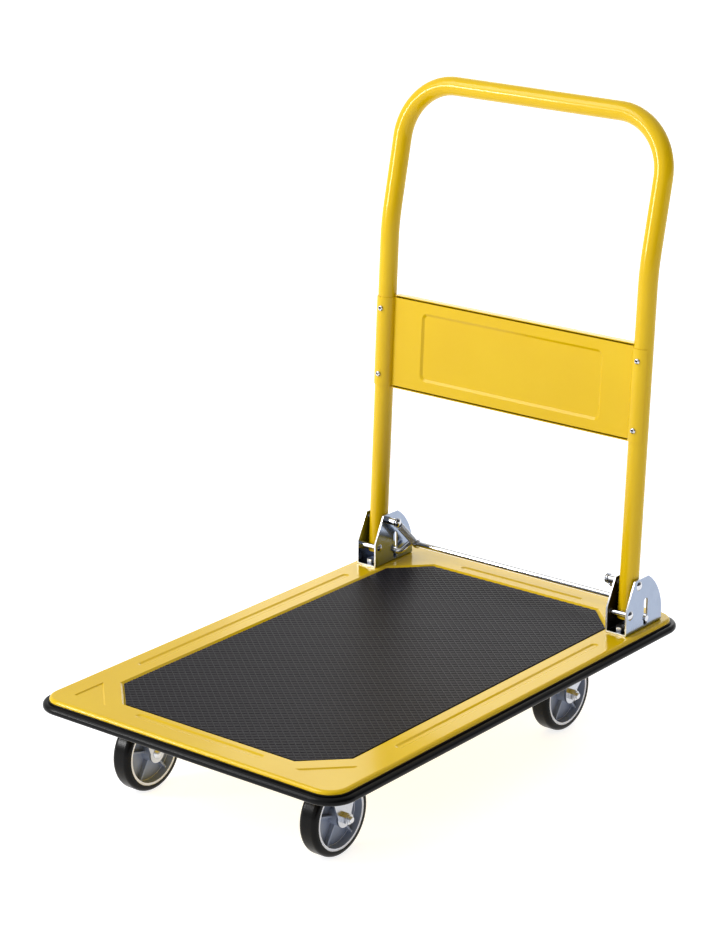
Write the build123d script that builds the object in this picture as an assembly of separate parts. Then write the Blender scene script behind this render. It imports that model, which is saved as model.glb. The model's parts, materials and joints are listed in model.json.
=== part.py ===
from build123d import *
import math
import os

# Folding platform cart, millimetres.
# Frame: origin on the floor under the middle of the deck, +Y from the front end to the handle end,
# +X across the deck, to the right when looking along +Y, and +Z up. "Left" and "right" follow that.

# ------------------------------------------------------------------ driving dimensions
# Deck pressing
DECK_W = 464.0
DECK_L = 723.0
DECK_CORNER_R = 28.0
SHEET = 1.5
EDGE_R = 4.5
EDGE_DROP = 4.0
FLANGE_H = 11.0
MAT_BORDER_SIDE = 51.6
MAT_BORDER_END = 50.1
MAT_CORNER = 46.0
MAT_T = 2.0
MAT_SUNK = 1.0
MAT_GAP = 0.5
MAT_EDGE = 0.4
RECESS_SLOPE = 4.0
BEAD_W = 11.0
BEAD_DEPTH = 1.2
BEAD_SLOPE = 3.0
SIDE_BEAD_SHORT = 151.5
SIDE_BEAD_INSET = 27.0
END_BEAD_SHORT = 132.0
END_BEAD_INSET = 32.0
CORNER_POCKET_LEG = 52.0
CORNER_POCKET_INSET = 30.0

# Rubber edge bumper
BUMPER_OUT = 8.3
BUMPER_H = 12.0
BUMPER_BACK_H = 9.5
BUMPER_NOSE_R = 5.0
BUMPER_LIP_GAP = 0.5

# Hat-section cross channels under the deck
CHANNEL_END = 7.0
CHANNEL_WEB_W = 96.0
CHANNEL_LIP_W = 14.0
CHANNEL_T = 2.0
CHANNEL_DEPTH = 10.0

# Casters
WHEEL_D = 102.0
TYRE_W = 26.0
TYRE_SHOULDER_R = 6.5
RIM_D = 86.0
RIM_WALL = 3.5
RIM_SETBACK = 0.8
HUB_D = 24.0
HUB_W = 29.0
WEB_T = 3.0
RIB_COUNT = 5
RIB_T = 2.4
RIB_PHASE = 4.0
RIB_SETBACK = 4.5
FORK_GAP = 30.4
FORK_T = 2.5
FORK_END_R = 12.5
FORK_EYE_RISE = 3.0
FORK_HALF_TOP = 36.0
RAKE_FRONT = 7.0
RAKE_BACK = 2.0
FRONT_CASTER_INSET = 83.0
FRONT_AXLE_SETBACK = 101.5
REAR_CASTER_INSET = 87.0
SWIVEL_SETBACK = 108.5
TRAIL = 35.0
PLATE_L = 92.0
PLATE_W = 68.0
PLATE_T = 3.0
PLATE_CORNER_R = 8.0
PLATE_BOLT_L = 74.0
PLATE_BOLT_W = 50.0
CROWN_D = 74.0
CROWN_T = 3.0
CROWN_CLEAR = 2.5
RACE_H = 9.5
RACE_D = 44.0
RACE_RING_W = 12.0
RACE_GAP = 1.2
BALL_D = 6.3
BALL_COUNT = 14
BALL_PLAY = 0.05
KINGPIN_D = 12.0
KINGPIN_HEAD_D = 22.0
KINGPIN_HEAD_T = 3.0
SLEEVE_D = 12.0
AXLE_D = 8.0
RUN_CLEAR = 0.06

# M8 hardware; HEX_CORNER is the turned-off corner radius as a share of the width across flats
HEX_CORNER = 0.56
NUT_AF = 13.0
NUT_H = 6.5
LOCK_COLLAR_D = 11.5
LOCK_COLLAR_H = 2.0
BOLT_HEAD_H = 5.3
DOME_HEAD_D = 14.0
DOME_HEAD_H = 4.5
THREAD_OUT = 3.0
CASTER_THREAD_OUT = 1.0
BOLT_CLEAR = 0.25
BOLT_END = 0.8

# Handle and its hinge
TUBE_D = 25.4
TUBE_WALL = 1.5
LEG_INSET = 26.2
PIVOT_SETBACK = 81.4
PIVOT_ABOVE_DECK = 62.6
LOWER_LEAN = 3.03
UPPER_LEAN = 12.78
LOWER_L = 413.6
UPPER_L = 192.6
KINK_R = 275.0
CORNER_R = 76.0
TAIL_L = 46.0
PLUG_DEPTH = 14.0
PLUG_WALL = 2.0

# Hinge bracket
BRACKET_T = 2.5
BRACKET_SIDE_GAP = 1.0
BRACKET_FRONT = 28.1
BRACKET_L = 83.0
BRACKET_FRONT_H = 34.0
BRACKET_TOP_H = 71.5
BRACKET_TOP_FRONT = 18.5
BRACKET_TOP_BACK = 49.5
BRACKET_CORNER_R = 4.0
BRACKET_BACK_H = 20.0
BRACKET_BULGE = (71.5, 50.5)
BRACKET_BOLT_FRONT = 13.0
BRACKET_BOLT_BACK = 63.0
PIVOT_D = 10.0
PIN_HEAD_D = 12.5
PIN_HEAD_T = 2.4
PEG_PAST_SPRING = 3.0
STOP_D = 8.0
STOP_HEAD_D = 10.5
STOP_ABOVE_DECK = 27.0
STOP_GAP = 0.3

# Foot bar latch
BAR_D = 8.0
BAR_TRAVEL = 6.0
BAR_BEHIND_PIVOT = 41.9
BAR_ABOVE_DECK = 21.0
BAR_BEND_R = 7.0
LATCH_BEHIND_PIVOT = 16.9
LATCH_GAP = 0.35
SLOT_TOP_ABOVE_DECK = 41.5
SLOT_PLAY = 0.4
ARM_GAP = 0.8
BAR_END_OUT = 2.0
COLLAR_D = 13.0
COLLAR_L = 6.0
COLLAR_EDGE = 0.8
COLLAR_SET_IN = 1.0
SPRING_D = 10.0
SPRING_WIRE = 1.3
SPRING_TURNS = 15
SPRING_END = 10.0
HOOK_PLAY = 0.3

# Back panel
PANEL_BOTTOM = 192.2
PANEL_H = 122.0
PANEL_T = 1.2
PANEL_WRAP = 52.0
PANEL_RECESS_W = 291.0
PANEL_RECESS_H = 94.0
PANEL_RECESS_DEPTH = 2.2
PANEL_RECESS_SLOPE = 3.5
PANEL_RECESS_R = 9.0
TRAY_OVER = 3.4
TRAY_DEPTH = 12.0
TRAY_END_GAP = 1.6
SCREW_INSET = 15.5
SCREW_HEAD_D = 7.6
SCREW_HEAD_H = 2.2
SCREW_D = 4.0
SCREW_L = 9.0
CROSS_L = 4.2
CROSS_W = 0.9
CROSS_DEPTH = 0.6

# Cutting shapes run this far past the faces they cut
PAST = 1.0

# ------------------------------------------------------------------ values that follow
# Heights, from the floor up through the casters to the deck
AXLE_Z = WHEEL_D / 2
CROWN_BOTTOM = WHEEL_D + CROWN_CLEAR
CROWN_TOP = CROWN_BOTTOM + CROWN_T
PLATE_BOTTOM = CROWN_TOP + RACE_H
WEB_BOTTOM = PLATE_BOTTOM + PLATE_T
WEB_TOP = WEB_BOTTOM + CHANNEL_T
PAN_UNDER = WEB_BOTTOM + CHANNEL_DEPTH
RECESS_DEPTH = MAT_SUNK + MAT_T
DECK_TOP = PAN_UNDER + SHEET + RECESS_DEPTH
MAT_TOP = DECK_TOP - MAT_SUNK
BROW_Z = DECK_TOP - EDGE_DROP
FLANGE_BOTTOM = BROW_Z - FLANGE_H

# Places across and along the deck
MAT_HALF_W = DECK_W / 2 - MAT_BORDER_SIDE
MAT_HALF_L = DECK_L / 2 - MAT_BORDER_END
SIDE_BEAD_L = DECK_L - 2 * SIDE_BEAD_SHORT
END_BEAD_L = DECK_W - 2 * END_BEAD_SHORT
FRONT_X = DECK_W / 2 - FRONT_CASTER_INSET
REAR_X = DECK_W / 2 - REAR_CASTER_INSET
FRONT_AXLE_Y = FRONT_AXLE_SETBACK - DECK_L / 2
SWIVEL_Y = DECK_L / 2 - SWIVEL_SETBACK
REAR_AXLE_Y = SWIVEL_Y - TRAIL
CHANNEL_L = 2 * max(FRONT_X, REAR_X) + PLATE_W + 2 * CHANNEL_END
LEG_X = DECK_W / 2 - LEG_INSET
PIVOT_Y = DECK_L / 2 - PIVOT_SETBACK
BAR_Y = PIVOT_Y + BAR_BEHIND_PIVOT
LATCH_Y = PIVOT_Y + LATCH_BEHIND_PIVOT

# Wheels, handle, brackets and latch
AXLE_R = AXLE_D / 2
SLEEVE_R = SLEEVE_D / 2
TUBE_R = TUBE_D / 2
PIVOT_Z = DECK_TOP + PIVOT_ABOVE_DECK
CHEEK_IN = TUBE_R + BRACKET_SIDE_GAP
CHEEK_OUT = CHEEK_IN + BRACKET_T
BRACKET_Y = PIVOT_Y - BRACKET_FRONT
BRACKET_FLOOR = DECK_TOP + BRACKET_T
BAR_R = BAR_D / 2
LATCH_REACH = math.hypot(TAIL_L, TUBE_R) + BAR_R + LATCH_GAP
LATCH_Z = PIVOT_Z - math.sqrt(LATCH_REACH**2 - LATCH_BEHIND_PIVOT**2)
ARM_X = LEG_X - CHEEK_OUT - ARM_GAP - BAR_BEND_R
SPRING_X = ARM_X - BAR_BEND_R
BAR_Z = DECK_TOP + BAR_ABOVE_DECK
STOP_Z = DECK_TOP + STOP_ABOVE_DECK
LEG_FACE = (TUBE_R + STOP_D / 2 + STOP_GAP) / math.cos(math.radians(LOWER_LEAN))
STOP_Y = PIVOT_Y - (PIVOT_Z - STOP_Z) * math.tan(math.radians(LOWER_LEAN)) - LEG_FACE
HANDLE_FRAME = Location((0, PIVOT_Y, PIVOT_Z)) * Rotation(-LOWER_LEAN, 0, 0)
UPRIGHT = (Align.CENTER, Align.CENTER, Align.MIN)


# ------------------------------------------------------------------ small shapes
def rounded_block(width, length, radius, bottom, top):
    outline = Plane.XY.offset(bottom) * RectangleRounded(width, length, radius)
    return extrude(outline, top - bottom)


def octagon(grow):
    """Mat outline, a rectangle with its corners cut at 45 degrees, grown by a margin."""
    half_w = MAT_HALF_W + grow
    half_l = MAT_HALF_L + grow
    cut = MAT_CORNER + grow * (2 - math.sqrt(2))
    corner_x = half_w - cut
    corner_y = half_l - cut
    points = []
    for sx, sy in ((1, 1), (-1, 1), (-1, -1), (1, -1)):
        pair = [(sx * half_w, sy * corner_y), (sx * corner_x, sy * half_l)]
        points += pair if sx * sy > 0 else pair[::-1]
    return make_face(Polyline(*points, close=True))


def x_cylinder(radius, x0, x1, y=0.0, z=0.0):
    """Cylinder along X between two planes."""
    low, high = sorted((x0, x1))
    disc = Plane(origin=(low, y, z), z_dir=(1, 0, 0)) * Circle(radius)
    return extrude(disc, high - low)


def z_cylinder(radius, z0, z1, x=0.0, y=0.0):
    return extrude(Plane(origin=(x, y, z0)) * Circle(radius), z1 - z0)


def dome(radius, height, x, y, z, side):
    """Rounded rivet head standing along X from a face, side +1 or -1."""
    arc_r = (radius**2 + height**2) / (2 * height)
    half = math.asin(radius / arc_r) / 2
    middle = (height - arc_r + arc_r * math.cos(half), arc_r * math.sin(half))
    profile = [
        Line((0, 0), (0, radius)),
        ThreePointArc((0, radius), middle, (height, 0)),
        Line((height, 0), (0, 0)),
    ]
    head = revolve(make_face(Curve() + profile), Axis.X)
    return Pos(x, y, z) * (head if side > 0 else mirror(head, about=Plane.YZ))


def hexagon(height):
    """M8 hexagon standing on z = 0 with its corners turned off."""
    body = extrude(RegularPolygon(NUT_AF / 2, 6, major_radius=False), height)
    return body & Cylinder(NUT_AF * HEX_CORNER, height, align=UPRIGHT)


def hex_nut():
    return hexagon(NUT_H) - Cylinder(AXLE_R, 3 * NUT_H)


def mirrored(shape):
    return mirror(shape, about=Plane.YZ)


def group(shapes):
    """Several separate solids held in one node."""
    return Compound(children=[solid for shape in shapes for solid in shape.solids()])


# ------------------------------------------------------------------ deck
def skin_block(inset):
    """Solid bounded by the pressing's outer skin, moved inwards by inset."""
    width = DECK_W - 2 * inset
    length = DECK_L - 2 * inset
    radius = DECK_CORNER_R - inset
    body = rounded_block(width, length, radius, FLANGE_BOTTOM - inset, DECK_TOP - inset)
    rim = body.faces().sort_by(Axis.Z)[-1].edges()
    return fillet(rim, EDGE_R - inset)


def bead(length, width, depth, slope, margin, turn):
    """Sunk stiffening bead with sloping sides, long way along X unless turned."""
    top = SlotOverall(length + 2 * margin, width + 2 * margin, rotation=turn)
    floor_l = length - 2 * slope + 2 * margin
    floor_w = width - 2 * slope + 2 * margin
    floor = SlotOverall(floor_l, floor_w, rotation=turn)
    return loft([Plane.XY.offset(-depth - margin) * floor, Plane.XY * top])


def corner_pocket(margin):
    """Sunk triangle in the front right corner of the border, right angle outwards."""
    leg_per_offset = 2 + math.sqrt(2)

    def outline(shrink):
        move = margin - shrink
        size = CORNER_POCKET_LEG + move * leg_per_offset
        corners = ((move, -move), (move - size, -move), (move, -move + size))
        return make_face(Polyline(*corners, close=True))

    floor = Plane.XY.offset(-BEAD_DEPTH - margin) * outline(BEAD_SLOPE / 2)
    pocket = loft([floor, Plane.XY * outline(0)])
    x = DECK_W / 2 - CORNER_POCKET_INSET
    y = -DECK_L / 2 + CORNER_POCKET_INSET
    return Pos(x, y, DECK_TOP) * pocket


def deck_pockets(margin):
    """Everything pressed down into the deck top: mat recess, beads and corner pockets."""
    floor_z = DECK_TOP - RECESS_DEPTH - margin
    floor = Plane.XY.offset(floor_z) * octagon(MAT_GAP + margin)
    brim = Plane.XY.offset(DECK_TOP) * octagon(MAT_GAP + RECESS_SLOPE + margin)
    shapes = [loft([floor, brim])]
    side_x = DECK_W / 2 - SIDE_BEAD_INSET
    end_y = DECK_L / 2 - END_BEAD_INSET
    for sign in (1, -1):
        side = bead(SIDE_BEAD_L, BEAD_W, BEAD_DEPTH, BEAD_SLOPE, margin, 90)
        shapes.append(Pos(sign * side_x, 0, DECK_TOP) * side)
        end = bead(END_BEAD_L, BEAD_W, BEAD_DEPTH, BEAD_SLOPE, margin, 0)
        shapes.append(Pos(0, sign * end_y, DECK_TOP) * end)
    pocket = corner_pocket(margin)
    shapes += [pocket, mirrored(pocket)]
    return shapes


def bracket_bolt_points():
    """Hole centres on the right-hand side of the deck, for the two bolts of a bracket."""
    return [(LEG_X, BRACKET_Y + BRACKET_BOLT_FRONT), (LEG_X, BRACKET_Y + BRACKET_BOLT_BACK)]


def make_deck_plate():
    outside = skin_block(0) - deck_pockets(0)
    inside = skin_block(SHEET) - deck_pockets(SHEET)
    plate = outside - inside
    hole_r = AXLE_R + BOLT_CLEAR
    for x, y in bracket_bolt_points():
        for sign in (1, -1):
            plate -= z_cylinder(hole_r, PAN_UNDER - SHEET, DECK_TOP + SHEET, sign * x, y)
    return plate


def make_deck_mat():
    mat = extrude(Plane.XY.offset(MAT_TOP - MAT_T) * octagon(0), MAT_T)
    return chamfer(mat.faces().sort_by(Axis.Z)[-1].edges(), MAT_EDGE)


def make_edge_bumper():
    """Soft extrusion with a round nose, run round the deck flange."""
    outer_w = DECK_W + 2 * BUMPER_OUT
    outer_l = DECK_L + 2 * BUMPER_OUT
    outer_r = DECK_CORNER_R + BUMPER_OUT
    bottom = BROW_Z - BUMPER_H
    ring = rounded_block(outer_w, outer_l, outer_r, bottom, bottom + BUMPER_BACK_H)
    ring = fillet(ring.faces().sort_by(Axis.Z)[-1].edges(), BUMPER_NOSE_R)
    low_r = BUMPER_BACK_H - BUMPER_NOSE_R - BUMPER_LIP_GAP
    ring = fillet(ring.faces().sort_by(Axis.Z)[0].edges(), low_r)
    lip_w = DECK_W + 2 * SHEET
    lip_l = DECK_L + 2 * SHEET
    lip_top = BROW_Z - BUMPER_LIP_GAP
    lip = rounded_block(lip_w, lip_l, DECK_CORNER_R + SHEET, bottom + SHEET, lip_top)
    core = rounded_block(DECK_W, DECK_L, DECK_CORNER_R, bottom - PAST, BROW_Z + PAST)
    return ring + lip - core


def make_cross_channel(y):
    """Hat section whose lips are welded under the deck and whose web takes the casters."""
    half_web = CHANNEL_WEB_W / 2
    top = PAN_UNDER
    outline = [
        (-half_web - CHANNEL_LIP_W, top),
        (-half_web - CHANNEL_LIP_W, top - CHANNEL_T),
        (-half_web - CHANNEL_T / 2, top - CHANNEL_T),
        (-half_web - CHANNEL_T / 2, WEB_BOTTOM),
        (half_web + CHANNEL_T / 2, WEB_BOTTOM),
        (half_web + CHANNEL_T / 2, top - CHANNEL_T),
        (half_web + CHANNEL_LIP_W, top - CHANNEL_T),
        (half_web + CHANNEL_LIP_W, top),
        (half_web - CHANNEL_T / 2, top),
        (half_web - CHANNEL_T / 2, WEB_TOP),
        (-half_web + CHANNEL_T / 2, WEB_TOP),
        (-half_web + CHANNEL_T / 2, top),
    ]
    face = make_face(Plane.YZ * Polyline(*outline, close=True))
    return Pos(0, y, 0) * extrude(face, CHANNEL_L / 2, both=True)


def plate_bolt_points(x, y):
    half_w = PLATE_BOLT_W / 2
    half_l = PLATE_BOLT_L / 2
    return [(x + sx * half_w, y + sy * half_l) for sx in (1, -1) for sy in (1, -1)]


def caster_centres():
    """Plate centres: two rigid casters at the front, two swivelling at the rear."""
    front = [(sign * FRONT_X, FRONT_AXLE_Y) for sign in (-1, 1)]
    rear = [(sign * REAR_X, SWIVEL_Y) for sign in (-1, 1)]
    return front, rear


def drill_plate_holes(shape, centres, bottom, top):
    for cx, cy in centres:
        for x, y in plate_bolt_points(cx, cy):
            shape -= z_cylinder(AXLE_R + BOLT_CLEAR, bottom - PAST, top + PAST, x, y)
    return shape


# ------------------------------------------------------------------ hinge brackets
def make_hinge_bracket():
    """Right-hand bracket: a folded channel, two cheeks standing on a floor."""
    profile = [
        Line((0, 0), (0, BRACKET_FRONT_H)),
        Line((0, BRACKET_FRONT_H), (BRACKET_TOP_FRONT, BRACKET_TOP_H)),
        Line((BRACKET_TOP_FRONT, BRACKET_TOP_H), (BRACKET_TOP_BACK, BRACKET_TOP_H)),
        ThreePointArc(
            (BRACKET_TOP_BACK, BRACKET_TOP_H), BRACKET_BULGE, (BRACKET_L, BRACKET_BACK_H)
        ),
        Line((BRACKET_L, BRACKET_BACK_H), (BRACKET_L, 0)),
        Line((BRACKET_L, 0), (0, 0)),
    ]
    side = make_face(Curve() + profile)
    top_corners = side.vertices().filter_by(lambda v: v.Y > BRACKET_FRONT_H + PAST)
    side = fillet(top_corners, BRACKET_CORNER_R)
    corner = (LEG_X - CHEEK_OUT, BRACKET_Y, DECK_TOP)
    place = Plane(origin=corner, x_dir=(0, 1, 0), z_dir=(1, 0, 0))
    body = extrude(place * side, 2 * CHEEK_OUT)
    body = fillet(body.faces().sort_by(Axis.Z)[0].edges().filter_by(Axis.Y), BRACKET_T)
    gap = Box(2 * CHEEK_IN, 2 * BRACKET_L, 2 * BRACKET_TOP_H, align=UPRIGHT)
    body -= Pos(LEG_X, BRACKET_Y + BRACKET_L / 2, BRACKET_FLOOR) * gap
    through = (LEG_X - CHEEK_OUT - PAST, LEG_X + CHEEK_OUT + PAST)
    body -= x_cylinder(PIVOT_D / 2 + RUN_CLEAR, *through, PIVOT_Y, PIVOT_Z)
    body -= x_cylinder(STOP_D / 2 + RUN_CLEAR, *through, STOP_Y, STOP_Z)
    slot_w = BAR_D + 2 * SLOT_PLAY
    slot_top = DECK_TOP + SLOT_TOP_ABOVE_DECK
    slot_low = LATCH_Z - BAR_TRAVEL - BAR_R - SLOT_PLAY
    slot = SlotOverall(slot_top - slot_low, slot_w, rotation=90)
    slot_start = (through[0], LATCH_Y, (slot_top + slot_low) / 2)
    slot_plane = Plane(origin=slot_start, x_dir=(0, 1, 0), z_dir=(1, 0, 0))
    body -= extrude(slot_plane * slot, through[1] - through[0])
    for x, y in bracket_bolt_points():
        body -= z_cylinder(AXLE_R + BOLT_CLEAR, DECK_TOP - PAST, BRACKET_FLOOR + PAST, x, y)
    return body


def make_pivot_pin():
    """Right-hand shouldered rivet; its inner end stands out as a peg for the spring."""
    outer = LEG_X + CHEEK_OUT
    inner = SPRING_X - PEG_PAST_SPRING
    pin = x_cylinder(PIVOT_D / 2, inner, outer, PIVOT_Y, PIVOT_Z)
    pin += dome(PIN_HEAD_D / 2, PIN_HEAD_T, outer, PIVOT_Y, PIVOT_Z, 1)
    pin += dome(PIN_HEAD_D / 2, PIN_HEAD_T, inner, PIVOT_Y, PIVOT_Z, -1)
    return pin


def make_stop_pin():
    outer = LEG_X + CHEEK_OUT
    inner = LEG_X - CHEEK_OUT
    pin = x_cylinder(STOP_D / 2, inner, outer, STOP_Y, STOP_Z)
    pin += dome(PIN_HEAD_D / 2, PIN_HEAD_T, outer, STOP_Y, STOP_Z, 1)
    pin += dome(STOP_HEAD_D / 2, PIN_HEAD_T, inner, STOP_Y, STOP_Z, -1)
    return pin


def hex_bolt(shank):
    """Bolt standing on z = 0 with its head above and shank below."""
    return hexagon(BOLT_HEAD_H) + z_cylinder(AXLE_R, -shank, 0)


def make_bracket_bolts():
    under = DECK_TOP - SHEET
    shank = BRACKET_FLOOR - under + NUT_H + THREAD_OUT
    bolts = []
    nuts = []
    for x, y in bracket_bolt_points():
        for sign in (1, -1):
            bolts.append(Pos(sign * x, y, BRACKET_FLOOR) * hex_bolt(shank))
            nuts.append(Pos(sign * x, y, under - NUT_H) * hex_nut())
    return group(bolts), group(nuts)


# ------------------------------------------------------------------ foot bar latch
def make_foot_bar():
    """One bent rod: across the cart, forward beside each bracket, then out through its slots."""
    end_x = LEG_X + CHEEK_OUT + BAR_END_OUT
    half = [(end_x, LATCH_Y, LATCH_Z), (ARM_X, LATCH_Y, LATCH_Z), (ARM_X, BAR_Y, BAR_Z)]
    route = [(-x, y, z) for x, y, z in half] + half[::-1]
    line = FilletPolyline(*route, radius=BAR_BEND_R)
    return sweep(Plane(origin=line @ 0, z_dir=line % 0) * Circle(BAR_R), path=line)


def make_bar_collars():
    end = SPRING_X - COLLAR_SET_IN
    start = end - COLLAR_L
    ring = x_cylinder(COLLAR_D / 2, start, end, BAR_Y, BAR_Z)
    ring -= x_cylinder(BAR_R, start - PAST, end + PAST, BAR_Y, BAR_Z)
    rims = ring.edges().filter_by(GeomType.CIRCLE).group_by(SortBy.RADIUS)[-1]
    ring = chamfer(rims, COLLAR_EDGE)
    return group([ring, mirrored(ring)])


def make_latch_spring():
    """Right-hand tension spring from the pivot peg down to the foot bar's arm."""
    top = Vector(SPRING_X, PIVOT_Y, PIVOT_Z)
    low = Vector(SPRING_X, BAR_Y, BAR_Z)
    direction = (low - top).normalized()
    coil_l = (low - top).length - 2 * SPRING_END
    mean_r = (SPRING_D - SPRING_WIRE) / 2
    start = Plane(origin=top + direction * SPRING_END, x_dir=(1, 0, 0), z_dir=direction)
    helix = Helix(pitch=coil_l / SPRING_TURNS, height=coil_l, radius=mean_r)
    wire = Plane(origin=helix @ 0, z_dir=helix % 0) * Circle(SPRING_WIRE / 2)
    coil = start.location * sweep(wire, path=helix, is_frenet=True)
    hooks = []
    for centre, eye in ((top, PIVOT_D / 2), (low, BAR_R)):
        ring_r = eye + HOOK_PLAY + SPRING_WIRE / 2
        ring_plane = Plane(origin=centre, z_dir=(1, 0, 0))
        hooks.append(ring_plane.location * Torus(ring_r, SPRING_WIRE / 2))
    return group([coil] + hooks)


# ------------------------------------------------------------------ handle
def make_handle_tube():
    """One tube: legs with a slight kink backwards, joined by a top bar with round corners."""
    kink = math.radians(UPPER_LEAN - LOWER_LEAN)
    top_y = UPPER_L * math.sin(kink)
    top_z = LOWER_L + UPPER_L * math.cos(kink)
    right = [(LEG_X, 0, -TAIL_L), (LEG_X, 0, LOWER_L), (LEG_X, top_y, top_z)]
    route = [(-x, y, z) for x, y, z in right] + right[::-1]
    path = FilletPolyline(*route, radius=[KINK_R, CORNER_R, CORNER_R, KINK_R])
    start = Plane(origin=path @ 0, z_dir=path % 0)
    tube = sweep(start * Circle(TUBE_R), path=path)
    tube -= sweep(start * Circle(TUBE_R - TUBE_WALL), path=path)
    hole_r = PIVOT_D / 2 + RUN_CLEAR
    tube -= x_cylinder(hole_r, -LEG_X - TUBE_D, LEG_X + TUBE_D)
    for x, z in panel_screw_points():
        shank = Plane(origin=(x, 0, z), z_dir=(0, -1, 0)) * Circle(SCREW_D / 2)
        tube -= extrude(shank, TUBE_D)
    return HANDLE_FRAME * tube


def make_end_plug():
    """Right-hand moulded plug pushed into the bottom of the leg."""
    bore_r = TUBE_R - TUBE_WALL
    plug = z_cylinder(bore_r, -TAIL_L, -TAIL_L + PLUG_DEPTH, LEG_X)
    mouth = -TAIL_L + PLUG_DEPTH
    plug -= z_cylinder(bore_r - PLUG_WALL, -TAIL_L + PLUG_WALL, mouth + PAST, LEG_X)
    return HANDLE_FRAME * plug


def panel_screw_points():
    low = PANEL_BOTTOM + SCREW_INSET
    high = PANEL_BOTTOM + PANEL_H - SCREW_INSET
    return [(sign * LEG_X, z) for sign in (1, -1) for z in (low, high)]


def make_panel_front():
    """Front sheet: flat across at mid tube, each end wrapped over the front of its tube."""
    inner_r = TUBE_R + RUN_CLEAR
    outer_r = inner_r + PANEL_T
    wrap = math.radians(PANEL_WRAP)
    root_out_x = LEG_X - math.sqrt(outer_r**2 - PANEL_T**2)

    def on_tube(radius, angle):
        return (LEG_X + radius * math.sin(angle), -radius * math.cos(angle))

    right = [(LEG_X - inner_r, 0), on_tube(inner_r, -math.pi / 4), on_tube(inner_r, wrap)]
    right += [on_tube(outer_r, wrap), on_tube(outer_r, -math.pi / 4), (root_out_x, -PANEL_T)]
    left = [(-x, y) for x, y in right]
    edges = [
        Line(left[0], right[0]),
        ThreePointArc(*right[0:3]),
        Line(right[2], right[3]),
        ThreePointArc(*right[3:6]),
        Line(right[5], left[5]),
        ThreePointArc(left[5], left[4], left[3]),
        Line(left[3], left[2]),
        ThreePointArc(left[2], left[1], left[0]),
    ]
    sheet = extrude(Plane.XY.offset(PANEL_BOTTOM) * make_face(Curve() + edges), PANEL_H)
    sheet += panel_dish(0)
    sheet -= panel_dish(-PANEL_T)
    for x, z in panel_screw_points():
        hole = Plane(origin=(x, 0, z), z_dir=(0, -1, 0)) * Circle(SCREW_D / 2 + BOLT_CLEAR)
        sheet -= extrude(hole, TUBE_D)
    return HANDLE_FRAME * sheet


def panel_dish(front):
    """Sloping-sided dish pushed back into the panel, its brim on the plane y = front."""
    slope = PANEL_RECESS_SLOPE
    centre = PANEL_BOTTOM + PANEL_H / 2
    brim_plane = Plane(origin=(0, front, centre), x_dir=(1, 0, 0), z_dir=(0, -1, 0))
    brim = RectangleRounded(PANEL_RECESS_W, PANEL_RECESS_H, PANEL_RECESS_R)
    floor_w = PANEL_RECESS_W - 2 * slope
    floor_h = PANEL_RECESS_H - 2 * slope
    floor = RectangleRounded(floor_w, floor_h, PANEL_RECESS_R - slope)
    return loft([brim_plane.offset(-PANEL_RECESS_DEPTH) * floor, brim_plane * brim])


def make_panel_rear():
    """Back tray: a plate behind the tubes' middle with rims folded forward round the sheet."""
    half_w = LEG_X - TUBE_R - TRAY_END_GAP
    height = PANEL_H + 2 * TRAY_OVER
    centre = PANEL_BOTTOM + PANEL_H / 2
    block = Box(2 * half_w, TRAY_DEPTH + PANEL_T, height)
    block = Pos(0, (TRAY_DEPTH - PANEL_T) / 2, centre) * block
    block = fillet(block.faces().sort_by(Axis.Y)[-1].edges(), PANEL_T * 2)
    inner_h = height - 2 * PANEL_T
    hollow = Box(2 * (half_w - PANEL_T), TRAY_DEPTH, inner_h)
    block -= Pos(0, TRAY_DEPTH / 2 - PANEL_T, centre) * hollow
    mouth = Box(2 * (half_w + PAST), PANEL_T + PAST, inner_h)
    block -= Pos(0, -(PANEL_T + PAST) / 2, centre) * mouth
    return HANDLE_FRAME * block


def make_panel_screws():
    outer = TUBE_R + RUN_CLEAR + PANEL_T
    screws = []
    for x, z in panel_screw_points():
        face = Plane(origin=(x, -outer, z), z_dir=(0, -1, 0))
        head = extrude(face * Circle(SCREW_HEAD_D / 2), SCREW_HEAD_H)
        head = fillet(head.faces().sort_by(Axis.Y)[0].edges(), SCREW_HEAD_H * 0.8)
        cross = Box(CROSS_L, CROSS_W, 2 * CROSS_DEPTH) + Box(CROSS_W, CROSS_L, 2 * CROSS_DEPTH)
        head -= face.offset(SCREW_HEAD_H).location * cross
        shank = extrude(face * Circle(SCREW_D / 2), -SCREW_L)
        screws.append(HANDLE_FRAME * (head + shank))
    return group(screws)


# ------------------------------------------------------------------ casters
def fork_leg_pair(outline):
    """Two flat legs either side of the wheel, cut to one outline in the Y-Z plane."""
    pair = []
    for sign in (1, -1):
        inner = sign * FORK_GAP / 2
        start = min(inner, inner + sign * FORK_T)
        place = Plane(origin=(start, 0, 0), x_dir=(0, 1, 0), z_dir=(1, 0, 0))
        pair.append(extrude(place * outline, FORK_T))
    return pair


def tangent_leg(front_top, back_top):
    """Leg outline round the axle at y = 0, spreading to two points at the top."""
    eye = Pos(0, AXLE_Z) * Circle(FORK_END_R)
    low = AXLE_Z + FORK_EYE_RISE
    outline = [front_top, (-FORK_END_R, low), (0, AXLE_Z), (FORK_END_R, low), back_top]
    return make_face(Polyline(*outline, close=True)) + eye


def axle_cut():
    reach = FORK_GAP / 2 + FORK_T + PAST
    return x_cylinder(AXLE_R + BOLT_CLEAR, -reach, reach, 0, AXLE_Z)


def mounting_plate():
    plate = Box(PLATE_W, PLATE_L, PLATE_T, align=UPRIGHT)
    return Pos(0, 0, PLATE_BOTTOM) * fillet(plate.edges().filter_by(Axis.Z), PLATE_CORNER_R)


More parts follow.
